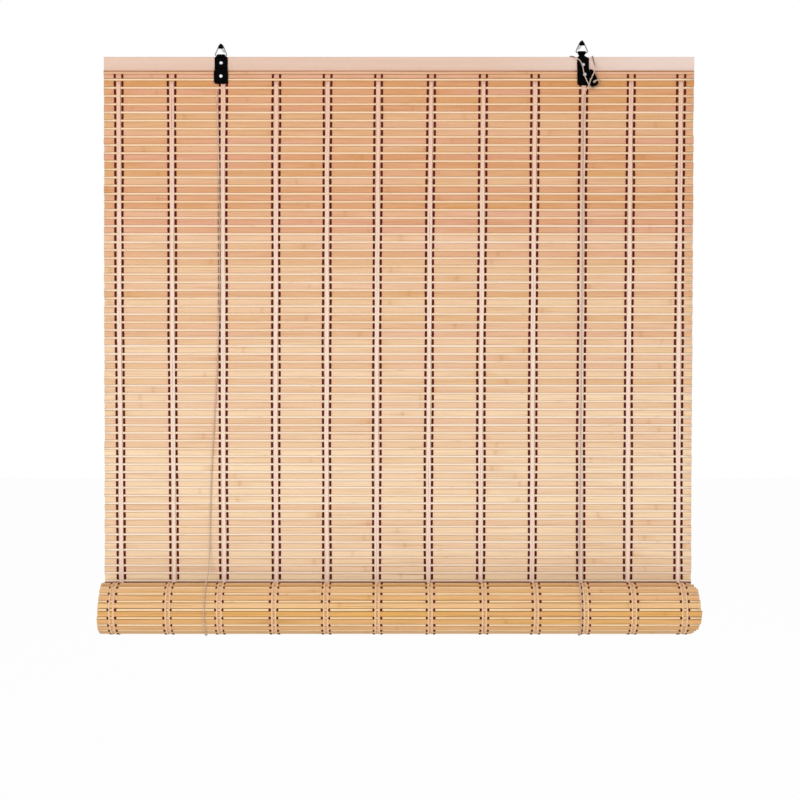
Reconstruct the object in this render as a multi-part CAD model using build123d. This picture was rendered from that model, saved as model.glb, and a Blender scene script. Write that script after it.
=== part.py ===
from build123d import *
import math
import os

# Bamboo roll up blind, hung on two wall hooks.
# Millimetres. X runs along the head rail, -Y faces the room, +Z is up.
# The origin lies on the wall, midway between the two hooks.

# Head rail
rail_length = 610.0
rail_height = 30.0
rail_depth = 8.0
rail_edge_round = 0.8
rail_below_hooks = 11.5
wall_gap = 3.0

# Woven mat: wide slats and thin sticks in turn, joined by a thin web
slat_height = 5.4
slat_depth = 1.4
stick_height = 2.3
stick_depth = 2.0
stick_bevel = 0.5
row_gap = 0.24
web_depth = 0.5
hanging_rows = 67
mat_below_rail_top = 14.5
top_strip_height = 2.6
slit_margin = 14.0

# Roll of the mat that is not let down
outer_rows = 21
turn_pitch = 2.9
inner_step_deg = 24.0
batten_radius = 5.0
batten_clearance = 0.3
batten_inset = 3.0
roll_radius = 26.4

# Warp yarns, in twelve bands set as unevenly as they were woven
band_inset = 14.7
band_steps = (54, 54, 55, 53, 52.5, 54.5, 54, 53.5, 50, 49, 51.5)
yarn_depth = 0.35
yarn_seat = 0.12
red_yarn_width = 1.9
red_yarn_offset = 3.75
pale_band_width = 4.6
rear_band_width = 5.7

# Wall hooks
hook_spacing = 372.2
hook_shift = 2.45
hook_rise = 3.3
hook_radius = 1.6
hook_thread_radius = 1.4
hook_bury = 22.0
hook_point = 6.0
hook_tip_radius = 0.25
hook_throat = 1.3
hook_head_width = 7.0
hook_head_height = 5.4
hook_head_depth = 1.5
hook_head_round = 1.0
hook_head_drop = 2.3

# Triangular wire rings
ring_wire = 1.2
ring_height = 11.6
ring_side_angle = 24.0
ring_corner_radius = 1.5
ring_play = 0.1

# Hanger plates
plate_thick = 1.0
plate_bend = 1.0
curl_turn_deg = 285.0
curl_side_gap = 0.3
plate_width = 13.4
plate_foot_width = 14.6
left_plate_reach = 28.4
right_plate_reach = 30.0
right_plate_width = 12.2
right_body_shift = 1.4
right_shoulder_below = 1.8
foot_lip = 1.6
plate_corner = 1.6
neck_width = 5.8
neck_below = 1.0
joggle_above_mat = 0.8
blank_margin = 1.0

# Screws through the plates
screw_radius = 1.05
screw_bite = 6.5
screw_head_radius = 1.9
screw_head_height = 1.2
screw_head_rim = 0.4
screw_head_swell = (1.33, 0.96)
screw_slot_width = 0.5
screw_slot_length = 2.3
screw_slot_depth = 0.5
left_upper_screw = (0.0, 6.5)
left_lower_screw = (0.0, 20.5)
right_upper_screw = (1.6, 8.4)
right_lower_screw = (3.0, 19.0)
screw_play = 0.05

# Cord cleat, a bent steel leaf under the right plate's lower screw
cleat_thick = 1.0
cleat_stand = 2.6
cleat_base_width = 6.4
cleat_reach = 14.2
cleat_drop = 13.0

# Front outline of the cleat, X and Z from the screw
cleat_outline = (
    (-3.2, 3.2),
    (3.2, 3.2),
    (5.0, 4.9),
    (7.5, 4.9),
    (10.9, -1.6),
    (13.8, -8.5),
    (11.8, -11.9),
    (4.8, -13.0),
    (4.8, -3.2),
    (-3.2, -3.2),
)

# Cords and their staples
cord_diameter = 1.2
arc_share = 0.45
cord_hole_width = 2.6
cord_hole_height = 4.0
cord_hole_x = -188.1
cord_hole_below_rail = 3.4
knot_radius = 1.35
knot_length = 4.0
knot_rounding = 0.65
staple_wire = 0.6
staple_width = 6.0
staple_bite = 5.0
staple_crown_gap = 0.65
staple_play = 0.02

# Each staple: its X and Z, and whether its crown lies across a cord that runs up and down
staple_places = (
    (-193.0, -29.0, True),
    (-188.2, -34.0, True),
    (-95.0, -19.6, False),
    (60.0, -19.0, False),
    (184.6, -29.0, True),
    (200.1, -19.5, True),
)

# Left lift cord, from its knot behind the rail, down, round the roll, up the front,
# through the mat, along the rail's back, over the rail and round the cleat
left_route = (
    (-193.0, -1.6, -24.5),
    (-195.9, -9.3, -560.0),
    (-196.0, -9.7, -588.5),
    (-196.3, -26.7, -604.9),
    (-196.2, -50.0, -604.4),
    (-195.9, -66.0, -588.1),
    (-195.6, -65.6, -565.4),
    (-195.8, -49.5, -549.8),
    (-196.2, -28.0, -549.0),
    (-196.0, -15.4, -531.0),
    (-195.2, -14.35, -478.0),
    (-193.0, -14.45, -425.0),
    (-190.0, -14.35, -372.0),
    (-187.0, -14.45, -318.0),
    (-185.4, -14.4, -262.0),
    (-185.6, -14.45, -190.0),
    (-185.7, -14.4, -120.0),
    (-187.2, -14.45, -62.0),
    (-188.1, -14.4, -43.6),
    (-188.1, -3.6, -43.6),
    (-188.2, -1.6, -41.2),
    (-188.2, -1.75, -27.0),
    (-180.0, -1.7, -20.5),
    (-168.0, -1.75, -19.9),
    (166.0, -1.75, -18.6),
    (174.0, -1.7, -16.4),
    (177.5, -1.4, -12.2),
    (178.2, -3.2, -10.1),
    (179.2, -10.7, -10.1),
    (180.5, -12.4, -11.9),
    (183.6, -13.2, -13.6),
    (187.0, -14.0, -15.8),
    (189.3, -14.5, -19.4),
    (190.4, -15.2, -23.6),
    (191.1, -17.3, -27.6),
    (192.3, -17.6, -31.6),
    (193.3, -17.7, -35.5),
    (194.7, -18.5, -39.7),
    (195.9, -18.9, -43.0),
    (198.1, -17.9, -45.3),
    (200.6, -15.5, -45.0),
    (202.8, -15.2, -41.6),
    (204.6, -15.4, -38.4),
    (206.3, -16.5, -36.7),
    (206.3, -18.7, -35.9),
    (204.7, -19.8, -36.1),
    (203.0, -19.7, -37.1),
)

# Right lift cord, from its knot behind the rail, down, round the roll, up the front,
# up in front of the cleat and back over the rail
right_route = (
    (184.6, -1.6, -24.5),
    (183.65, -9.3, -560.0),
    (183.6, -9.7, -588.5),
    (183.4, -26.7, -604.9),
    (183.2, -50.0, -604.4),
    (182.9, -66.0, -588.1),
    (182.8, -65.6, -565.4),
    (183.2, -49.5, -549.8),
    (184.2, -28.0, -549.0),
    (186.0, -15.4, -531.0),
    (187.2, -14.35, -478.0),
    (187.6, -14.45, -420.0),
    (188.0, -14.35, -362.0),
    (188.4, -14.45, -304.0),
    (188.8, -14.35, -246.0),
    (189.1, -14.45, -188.0),
    (189.5, -14.35, -130.0),
    (189.8, -14.4, -76.0),
    (190.4, -14.9, -52.0),
    (192.4, -17.6, -46.6),
    (194.6, -20.4, -43.8),
    (195.7, -21.0, -40.2),
    (196.9, -20.9, -36.4),
    (198.7, -20.4, -32.8),
    (200.4, -19.9, -29.2),
    (201.4, -19.3, -25.2),
    (201.4, -17.4, -20.6),
    (200.4, -13.8, -16.6),
    (199.8, -12.4, -12.2),
    (199.8, -10.7, -10.1),
    (200.0, -3.2, -10.1),
    (200.0, -1.4, -12.2),
    (200.2, -1.75, -16.6),
    (200.1, -1.6, -22.4),
)

# Planes that the pieces share
rail_back = -wall_gap
rail_front = rail_back - rail_depth
rail_top = -rail_below_hooks
rail_bottom = rail_top - rail_height
mat_mid = rail_front - stick_depth / 2
mat_front = mat_mid - stick_depth / 2
yarn_front = mat_front - yarn_depth
strip_top = rail_top - mat_below_rail_top
mat_top = strip_top - top_strip_height
row_height = slat_height + stick_height + 2 * row_gap
roll_z = mat_top - hanging_rows * row_height
roll_y = mat_mid - roll_radius
left_x = -hook_spacing / 2 + hook_shift
right_x = hook_spacing / 2 + hook_shift
left_hook_z = -hook_rise / 2
right_hook_z = hook_rise / 2
curl_bore = ring_wire / 2 + ring_play
curl_outer = curl_bore + plate_thick
ring_y = rail_front - curl_outer
ring_apex_bend = hook_radius + ring_play + ring_wire / 2
upper_face = rail_front - plate_thick
lower_face = yarn_front - plate_thick


def extruded_x(points, length, centre_x=0.0):
    """A solid of the given outline in YZ, of the given length along X."""
    face = make_face(Plane.YZ * Polyline(*points, close=True))
    return Pos(centre_x, 0, 0) * extrude(face, length / 2, both=True)


def plate_outline(points, front, back):
    """A block of the given outline in XZ, between two depths."""
    face = make_face(Plane.XZ * Polyline(*points, close=True))
    return Pos(0, back, 0) * extrude(face, back - front, dir=(0, -1, 0))


def rod_y(radius, front, back, x, z):
    """A round rod along Y between two depths."""
    return Pos(x, (front + back) / 2, z) * Rot(90, 0, 0) * Cylinder(radius, back - front)


def row_profile():
    """Distance below a row's top edge, and half the mat's depth there, for one row."""
    stick_top = slat_height + row_gap
    stick_end = stick_top + stick_height
    return (
        (0.0, web_depth / 2),
        (0.0, slat_depth / 2),
        (slat_height, slat_depth / 2),
        (slat_height, web_depth / 2),
        (stick_top, web_depth / 2),
        (stick_top + stick_bevel, stick_depth / 2),
        (stick_end - stick_bevel, stick_depth / 2),
        (stick_end, web_depth / 2),
    )


def band_centres():
    """X of each warp band, spread over the mat's width."""
    spread = (rail_length - 2 * band_inset) / sum(band_steps)
    centres = [-rail_length / 2 + band_inset]
    for step in band_steps:
        centres.append(centres[-1] + step * spread)
    return centres


def screw_places():
    """X, Z and the depth of the seat of each plate screw."""
    return {
        "left": (
            (left_x + left_upper_screw[0], rail_top - left_upper_screw[1], upper_face),
            (left_x + left_lower_screw[0], rail_top - left_lower_screw[1], lower_face),
        ),
        "right": (
            (right_x + right_upper_screw[0], rail_top - right_upper_screw[1], upper_face),
            (
                right_x + right_lower_screw[0],
                rail_top - right_lower_screw[1],
                lower_face - cleat_thick,
            ),
        ),
    }


def staple_feet(place):
    """X and Z of a staple's two legs."""
    x, z, across = place
    half = (staple_width - staple_wire) / 2
    if across:
        return ((x - half, z), (x + half, z))
    return ((x, z - half), (x, z + half))


def head_rail():
    """The planed batten, with pilot holes for the plate screws and the staples."""
    rail = Pos(0, (rail_back + rail_front) / 2, (rail_top + rail_bottom) / 2) * Box(
        rail_length, rail_depth, rail_height
    )
    rail = fillet(rail.edges().filter_by(Axis.X), rail_edge_round)
    for side in screw_places().values():
        for x, z, seat in side:
            depth = rail_front + screw_bite + screw_play
            rail -= rod_y(screw_radius + screw_play, rail_front - 1, depth, x, z)
    for place in staple_places:
        for x, z in staple_feet(place):
            depth = rail_back - staple_bite - staple_play
            rail -= rod_y(staple_wire / 2 + staple_play, depth, rail_back + 1, x, z)
    return rail


def hanging_mat():
    """The let-down part of the mat: ridges on a web, with one slit to each row."""
    down = [(0.0, slat_depth / 2), (top_strip_height - row_gap, slat_depth / 2)]
    down.append((top_strip_height - row_gap, web_depth / 2))
    for row in range(hanging_rows):
        for below, half in row_profile():
            down.append((top_strip_height + row * row_height + below, half))
    down.append((strip_top - roll_z, web_depth / 2))
    front = [(mat_mid - half, strip_top - below) for below, half in down]
    back = [(mat_mid + half, strip_top - below) for below, half in reversed(down)]
    mat = extruded_x(front + back, rail_length)
    cuts = []
    for row in range(hanging_rows):
        slit_z = mat_top - row * row_height - slat_height - row_gap / 2
        slit = Box(rail_length - 2 * slit_margin, stick_depth, row_gap)
        cuts.append(Pos(0, mat_mid, slit_z) * slit)
    for x, z, seat in (screw_places()["left"][1], screw_places()["right"][1]):
        cuts.append(rod_y(screw_radius + screw_play, mat_front - 1, rail_front + 1, x, z))
    hole = Box(cord_hole_width, 2 * stick_depth, cord_hole_height)
    cuts.append(Pos(cord_hole_x, mat_mid, rail_bottom - cord_hole_below_rail) * hole)
    return mat - cuts


def spiral_point(turned, offset):
    """A point of the roll's spiral, offset outwards from the mat's middle."""
    radius = roll_radius - turn_pitch * turned / (2 * math.pi) + offset
    return (roll_y + radius * math.cos(turned), roll_z - radius * math.sin(turned))


def outer_turn():
    """Angle and half depth at each point of the roll's ridged outer turn."""
    places = []
    turned = 0.0
    for row in range(outer_rows):
        radius = roll_radius - turn_pitch * turned / (2 * math.pi)
        for below, half in row_profile():
            places.append((turned + below / radius, half))
        turned += row_height / radius
    return places, turned


def rolled_mat():
    """The rolled part of the mat, one strip wound from the hanging mat to the batten."""
    places, turned = outer_turn()
    inner_end = batten_radius + batten_clearance + slat_depth / 2
    last = 2 * math.pi * (roll_radius - inner_end) / turn_pitch
    while turned < last:
        places.append((turned, slat_depth / 2))
        turned += math.radians(inner_step_deg)
    places.append((last, slat_depth / 2))
    outside = [spiral_point(angle, half) for angle, half in places]
    inside = [spiral_point(angle, -half) for angle, half in reversed(places)]
    return extruded_x(outside + inside, rail_length)


def bottom_batten():
    """The round batten that the mat's lower edge is fixed to."""
    length = rail_length - 2 * batten_inset
    return Pos(0, roll_y, roll_z) * Rot(0, 90, 0) * Cylinder(batten_radius, length)


def front_strip(centre_x, width, top):
    """A warp strip down the front of the hanging mat."""
    return Pos(centre_x, (mat_front + yarn_front) / 2, (top + roll_z) / 2) * Box(
        width, yarn_depth, top - roll_z
    )


def red_warp_yarns():
    """Two dark yarns to each band, from the first slat down."""
    yarns = []
    for centre in band_centres():
        for side in (-1, 1):
            yarns.append(front_strip(centre + side * red_yarn_offset, red_yarn_width, mat_top))
    return Compound(children=yarns)


def pale_warp_bands():
    """The pale yarns between the dark ones, from the second slat down."""
    top = mat_top - row_height
    return Compound(children=[front_strip(x, pale_band_width, top) for x in band_centres()])


def rear_warp_bands():
    """The pale yarns on the mat's back, which show on the outside of the roll."""
    near = stick_depth / 2 + yarn_seat
    far = near + yarn_depth
    stick_middle = slat_height + row_gap + stick_height / 2
    turns = [0.0]
    turned = 0.0
    for row in range(outer_rows - 3):
        radius = roll_radius - turn_pitch * turned / (2 * math.pi)
        turns.append(turned + stick_middle / radius)
        turned += row_height / radius
    outer = [(mat_mid + far, rail_bottom)] + [spiral_point(turn, far) for turn in turns]
    inner = [spiral_point(turn, near) for turn in reversed(turns)]
    inner.append((mat_mid + near, rail_bottom))
    return Compound(
        children=[extruded_x(outer + inner, rear_band_width, x) for x in band_centres()]
    )


def ring_sizes():
    """Height of the ring's sharp apex, half its sharp base, and half its straight base."""
    slope = math.radians(ring_side_angle)
    sharp_height = ring_height + ring_apex_bend * (1 / math.sin(slope) - 1)
    half_base = sharp_height * math.tan(slope)
    half_corner = math.radians(90 - ring_side_angle) / 2
    return sharp_height, half_base, half_base - ring_corner_radius / math.tan(half_corner)


def base_wire_z(hook_z):
    """Height of the base wire of the ring that hangs on a hook."""
    return hook_z + ring_apex_bend - ring_height


def ring(centre_x, hook_z):
    """A closed triangular wire ring, its rounded apex over the hook."""
    sharp_height, half_base = ring_sizes()[:2]
    base = base_wire_z(hook_z)
    corners = (
        (centre_x - half_base, ring_y, base),
        (centre_x + half_base, ring_y, base),
        (centre_x, ring_y, base + sharp_height),
    )
    bends = (ring_corner_radius, ring_corner_radius, ring_apex_bend)
    path = FilletPolyline(*corners, radius=bends, close=True)
    wire = Plane(origin=path @ 0, z_dir=path % 0) * Circle(ring_wire / 2)
    return sweep(wire, path=path)


def wall_hook(centre_x, hook_z):
    """A round shank that goes into the wall, with a flared head that keeps the ring on."""
    head_back = ring_y - ring_wire / 2 - hook_throat
    thread_end = hook_bury - hook_point
    shank = rod_y(hook_radius, head_back, 0, centre_x, hook_z)
    shank += rod_y(hook_thread_radius, 0, thread_end, centre_x, hook_z)
    point = Cone(hook_thread_radius, hook_tip_radius, hook_point)
    shank += Pos(centre_x, thread_end + hook_point / 2, hook_z) * Rot(-90, 0, 0) * point
    outline = Polyline(
        (-hook_head_width / 2, 0),
        (hook_head_width / 2, 0),
        (0, hook_head_height + hook_head_round),
        close=True,
    )
    face = make_face(outline)
    face = fillet(face.vertices(), hook_head_round)
    head = extrude(Plane.XZ * face, hook_head_depth)
    return shank + Pos(centre_x, head_back, hook_z - hook_head_drop) * head


def sheet_profile(base_z, foot_z):
    """Side view of a plate: curled over the ring, flat on the rail, joggled over the mat."""
    upper = rail_front - plate_thick / 2
    lower = yarn_front - plate_thick / 2
    step = upper - lower
    joggle_end = strip_top + joggle_above_mat
    middle = curl_bore + plate_thick / 2
    curl = CenterArc((ring_y, base_z), middle, 0, curl_turn_deg)
    sheet = FilletPolyline(
        (upper, base_z),
        (upper, joggle_end + step),
        (lower, joggle_end),
        (lower, foot_z + foot_lip),
        (lower - foot_lip / 2, foot_z),
        radius=plate_bend + plate_thick / 2,
    )
    return Plane.YZ * trace([curl, sheet], plate_thick)


def bent_plate(base_z, foot_z, outline, holes):
    """A pressed plate: its side view, cut to its front outline, with its screw holes."""
    width = max(x for x, z in outline) - min(x for x, z in outline)
    middle = (max(x for x, z in outline) + min(x for x, z in outline)) / 2
    sheet = Pos(middle, 0, 0) * extrude(sheet_profile(base_z, foot_z), width / 2, both=True)
    blank = plate_outline(outline, lower_face - 2 * foot_lip, rail_front)
    plate = sheet & blank
    for x, z, seat in holes:
        plate -= rod_y(screw_radius + screw_play, lower_face - 1, rail_front + 1, x, z)
    return plate


def left_hanger_plate():
    """The plain plate: flat beside the curl, where the ring's corners turn."""
    base = base_wire_z(left_hook_z)
    curl = ring_sizes()[2] - curl_side_gap
    top = base + curl_outer + blank_margin
    body = plate_width / 2
    foot = plate_foot_width / 2
    foot_z = rail_top - left_plate_reach
    right_side = (
        (curl, top),
        (curl, base),
        (body - plate_corner, base),
        (body, base - plate_corner),
        (body, strip_top),
        (foot, strip_top - plate_corner),
        (foot, foot_z + plate_corner),
        (foot - plate_corner, foot_z),
    )
    outline = [(left_x + x, z) for x, z in right_side]
    outline += [(left_x - x, z) for x, z in reversed(right_side)]
    plate = bent_plate(base, foot_z, outline, screw_places()["left"])
    room = Box(body, 2 * curl_outer, 2 * (curl_outer + curl_side_gap))
    for side in (-1, 1):
        plate -= Pos(left_x + side * (curl + body / 2), upper_face - curl_outer, base) * room
    return plate


def right_hanger_plate():
    """The plate on the cord side: a waisted neck above the rail, its body set to one side."""
    base = base_wire_z(right_hook_z)
    curl = ring_sizes()[2] - curl_side_gap
    neck_z = base - curl_outer - neck_below
    shoulder_z = rail_top - right_shoulder_below
    body = right_plate_width / 2
    foot_z = rail_top - right_plate_reach
    right_side = (
        (curl, base + curl_outer + blank_margin),
        (curl, base - curl_outer / 2),
        (neck_width / 2, neck_z),
        (body + right_body_shift, shoulder_z),
        (body + right_body_shift, foot_z + plate_corner),
        (body + right_body_shift - plate_corner, foot_z),
    )
    left_side = (
        (-body + right_body_shift + plate_corner, foot_z),
        (-body + right_body_shift, foot_z + plate_corner),
        (-body + right_body_shift, shoulder_z),
        (-neck_width / 2, neck_z),
        (-curl, base - curl_outer / 2),
        (-curl, base + curl_outer + blank_margin),
    )
    outline = [(right_x + x, z) for x, z in right_side + left_side]
    return bent_plate(base, foot_z, outline, screw_places()["right"])


def plate_screw(x, z, seat):
    """A pan head screw with a crossed recess, its shank in the rail."""
    tip = rail_front + screw_bite
    crown = seat - screw_head_height
    rim = seat - screw_head_rim
    swell_radius, swell_height = screw_head_swell
    profile = Polyline(
        (0, crown),
        (0, tip),
        (screw_radius, tip - screw_radius),
        (screw_radius, seat),
        (screw_head_radius, seat),
        (screw_head_radius, rim),
    )
    profile += ThreePointArc(
        (screw_head_radius, rim), (swell_radius, seat - swell_height), (0, crown)
    )
    screw = revolve(make_face(profile), Axis.Y)
    slot = Box(screw_slot_length, 2 * screw_slot_depth, screw_slot_width)
    for turn in (0, 90):
        screw -= Pos(0, crown, 0) * Rot(0, turn, 0) * slot
    return Pos(x, 0, z) * screw


def plate_screws(side):
    """The two screws of one plate."""
    return Compound(children=[plate_screw(x, z, seat) for x, z, seat in screw_places()[side]])


def cord_cleat():
    """The bent leaf that the cords are tied off on, clamped under the lower screw."""
    x, z, seat = screw_places()["right"][1]
    base = lower_face - cleat_thick / 2
    half = cleat_base_width / 2
    path = FilletPolyline(
        (x - half, base),
        (x + half, base),
        (x + half + cleat_stand, base - cleat_stand),
        (x + cleat_reach, base - cleat_stand),
        radius=cleat_thick,
    )
    leaf = Pos(0, 0, z) * extrude(trace(path, cleat_thick), 2 * cleat_drop, both=True)
    outline = [(x + across, z + up) for across, up in cleat_outline]
    leaf &= plate_outline(outline, base - cleat_stand - cleat_thick, lower_face)
    return leaf - rod_y(screw_radius + screw_play, seat - 1, lower_face + 1, x, z)


def cord_staples():
    """The staples on the rail's back: legs in the wood, crown over the cord."""
    foot = rail_back - staple_bite
    staples = []
    for place in staple_places:
        first, last = staple_feet(place)
        path = FilletPolyline(
            (first[0], foot, first[1]),
            (first[0], -staple_crown_gap, first[1]),
            (last[0], -staple_crown_gap, last[1]),
            (last[0], foot, last[1]),
            radius=staple_wire,
        )
        wire = Plane(origin=path @ 0, z_dir=path % 0) * Circle(staple_wire / 2)
        staples.append(sweep(wire, path=path))
    return Compound(children=staples)


def arc_radii(route):
    """The largest arc that each corner's two runs allow."""
    radii = []
    for before, corner, after in zip(route, route[1:], route[2:]):
        run_in = Vector(*corner) - Vector(*before)
        run_out = Vector(*after) - Vector(*corner)
        half_turn = math.radians(run_in.get_angle(run_out)) / 2
        radii.append(arc_share * min(run_in.length, run_out.length) / math.tan(half_turn))
    return radii


def cord(route):
    """A cord along its route: straight runs joined by tangent arcs."""
    path = FilletPolyline(*route, radius=arc_radii(route))
    section = Plane(origin=path @ 0, z_dir=path % 0) * Circle(cord_diameter / 2)
    return sweep(section, path=path)


def knot(route_end, before_end):
    """A knot that fills a cord's end, along the cord's last run."""
    along = Vector(*route_end) - Vector(*before_end)
    lump = Pos(0, 0, knot_length / 2) * Cylinder(knot_radius, knot_length)
    lump = fillet(lump.edges().filter_by(GeomType.CIRCLE), knot_rounding)
    return Plane(origin=route_end, z_dir=along.normalized()) * lump


os.makedirs("parts", exist_ok=True)

parts = {
    "head_rail": head_rail(),
    "hanging_mat": hanging_mat(),
    "rolled_mat": rolled_mat(),
    "bottom_batten": bottom_batten(),
    "red_warp_yarns": red_warp_yarns(),
    "pale_warp_bands": pale_warp_bands(),
    "rear_warp_bands": rear_warp_bands(),
    "left_wall_hook": wall_hook(left_x, left_hook_z),
    "right_wall_hook": wall_hook(right_x, right_hook_z),
    "left_ring": ring(left_x, left_hook_z),
    "right_ring": ring(right_x, right_hook_z),
    "left_hanger_plate": left_hanger_plate(),
    "right_hanger_plate": right_hanger_plate(),
    "left_plate_screws": plate_screws("left"),
    "right_plate_screws": plate_screws("right"),
    "cord_cleat": cord_cleat(),
    "cord_staples": cord_staples(),
    "left_lift_cord": cord(left_route),
    "right_lift_cord": cord(right_route),
    "left_fall_knot": knot(left_route[0], left_route[1]),
    "right_fall_knot": knot(right_route[0], right_route[1]),
    "left_tail_knot": knot(left_route[-1], left_route[-2]),
    "right_tail_knot": knot(right_route[-1], right_route[-2]),
}

for name, solid in parts.items():
    export_step(solid, "parts/" + name + ".step")
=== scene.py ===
import math
import random

import bpy
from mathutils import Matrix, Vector


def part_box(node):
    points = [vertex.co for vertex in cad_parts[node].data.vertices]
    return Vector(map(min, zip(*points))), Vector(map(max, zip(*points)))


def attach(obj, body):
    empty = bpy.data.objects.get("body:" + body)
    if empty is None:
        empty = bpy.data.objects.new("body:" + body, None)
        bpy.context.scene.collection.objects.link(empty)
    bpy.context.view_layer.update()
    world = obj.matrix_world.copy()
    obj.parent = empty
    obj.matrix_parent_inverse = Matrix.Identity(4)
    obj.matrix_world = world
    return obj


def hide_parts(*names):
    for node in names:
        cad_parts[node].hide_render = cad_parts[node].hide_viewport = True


# Bamboo roll up blind: its looks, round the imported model. Metres, X along the rail, -Y to the room.

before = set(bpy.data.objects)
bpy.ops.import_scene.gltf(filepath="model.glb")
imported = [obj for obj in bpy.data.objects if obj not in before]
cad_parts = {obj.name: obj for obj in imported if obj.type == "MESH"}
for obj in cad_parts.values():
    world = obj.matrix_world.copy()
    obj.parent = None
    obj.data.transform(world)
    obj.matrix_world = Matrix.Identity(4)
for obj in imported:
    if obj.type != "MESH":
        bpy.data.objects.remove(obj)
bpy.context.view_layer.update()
random.seed(7)

mm = 0.001

# Where the frame puts the rail, the mat and the roll
rail_low = Vector(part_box("head_rail")[0])
mat_low, mat_high = (Vector(corner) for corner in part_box("hanging_mat"))
batten_low, batten_high = (Vector(corner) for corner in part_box("bottom_batten"))
mat_y = (mat_low.y + mat_high.y) / 2
mat_top = mat_high.z
roll_y = (batten_low.y + batten_high.y) / 2
roll_z = (batten_low.z + batten_high.z) / 2
roll_radius = mat_y - roll_y
hang_length = mat_top - roll_z
turn_pitch = 2.9 * mm
core_radius = 6.2 * mm

# Slats, sticks and their rows; in the roll they run a little past the hanging mat
slat_height = 5.4 * mm
slat_depth = 1.4 * mm
stick_height = 2.3 * mm
stick_depth = 2.0 * mm
stick_bevel = 0.5 * mm
slat_bevel = 0.35 * mm
# Height of a thin dark strip at the mat's top: painted shade for the shadowed gap under the rail
top_shade_strip = 1.0 * mm
top_strip = 2.5 * mm
first_slat = 4.0 * mm
top_gap = 0.2 * mm
top_bevel = 0.2 * mm
first_stick = 9.4 * mm
pitch_top = 8.45 * mm
pitch_shrink = 0.0074 * mm
hanging_rows = 67
roll_pitch = 8.22 * mm
slat_gap = (0.04 * mm, 0.16 * mm)
rolled_slat_share = (0.95, 1.03)
yarn_roll_rows = 21
end_left = mat_low.x
end_right = mat_high.x - 0.8 * mm
right_draw_in = 2.0 * mm
roll_left = mat_low.x + 2.1 * mm
roll_right = mat_high.x - 1.2 * mm
roll_taper = 8.0 * mm
roll_taper_power = 6
roll_top_inset = 1.0 * mm
roll_front = 1.056 * math.pi
roll_left_swing = 0.7 * mm
hanging_ragged = 0.35 * mm
outer_ragged = 0.3 * mm
inner_ragged = 1.2 * mm
hanging_steps = 40
outer_steps = 28
inner_steps = 3
strip_wander = 0.05 * mm
strip_lift = 0.5
top_wander = 0.1 * mm
edge_wander = 0.03 * mm

# Waves that a strip or a yarn wanders in: radians a metre, and height
sway_waves = ((11, 1.0), (31, 0.6))
lift_waves = ((17, 1.0), (43, 0.5))
yarn_waves = ((23, 0.25 * mm), (71, 0.15 * mm))

# Lightness of the strips, from 0 to 1: how it rises down the hanging mat, painted light for the lower
# rows being lit more brightly than the top ones, what it is in the roll, and how far single strips
# stray from it
light_rise = 1.5
light_delay = 0.19
light_share = 0.85
light_stray = 0.5
light_stray_middle = 0.4
rolled_light = 0.2
rolled_light_stray = 0.75

# Painted shade, from 0 to 1: on every strip's edges, where the gaps between strips lie in shade; on
# the row above the roll, for the shadow in the crevice between mat and roll; at the mat's top edge,
# for the shadow under the rail; and on rows of the roll's first turn, between two angles in half
# turns:
# its top under the mat, the crevice behind it and its underside
edge_shade = 0.32
dark_row = 64
dark_row_shade = 0.95
top_edge_shade = 0.3
roll_shades = ((1.6, 1.8, 0.5), (1.38, 1.6, 0.16), (0.4, 0.72, 0.12))

# Yarns: where each band runs, and how far it has wandered by the roll
band_inset = 14.7 * mm
band_steps = (54.9, 53.1, 55, 53, 52.5, 54.5, 54, 53.5, 50, 49, 51.5)
band_drift = (2.5, 2.1, 0.5, -0.5, -1.1, -2.1, -3.1, -3.1, -3.1, -3.1, -3.1, -2.6)
band_roll_drift = (-1.9, -0.4, 0.1, 1.1, 1.0, 1.5, 1.3, 1.7, 0.5, 0.7, -0.3, -1.4)
band_roll_run = 40.0 * mm
band_shift = 0.9 * mm
band_bow = 0.7 * mm
red_offset = 3.75 * mm
red_half_width = 1.15 * mm
red_half_depth = 0.38 * mm
red_hold = 0.5 * mm
first_stitch = (-2.2 * mm, -1.8 * mm, 1.4 * mm, 1.8 * mm)
rail_margin = 1.0 * mm
stitch_inset = 0.4 * mm
stitch_press = 0.04 * mm
stitch_sunk = 0.1 * mm
pale_offset = 1.0 * mm
pale_half_width = 1.35 * mm
pale_half_depth = 0.26 * mm
back_offset = 2.0 * mm
back_half_width = 1.1 * mm
back_half_depth = 0.26 * mm
pale_lift = 0.8
laid_reach = 0.35
yarn_sides = 6
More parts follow.
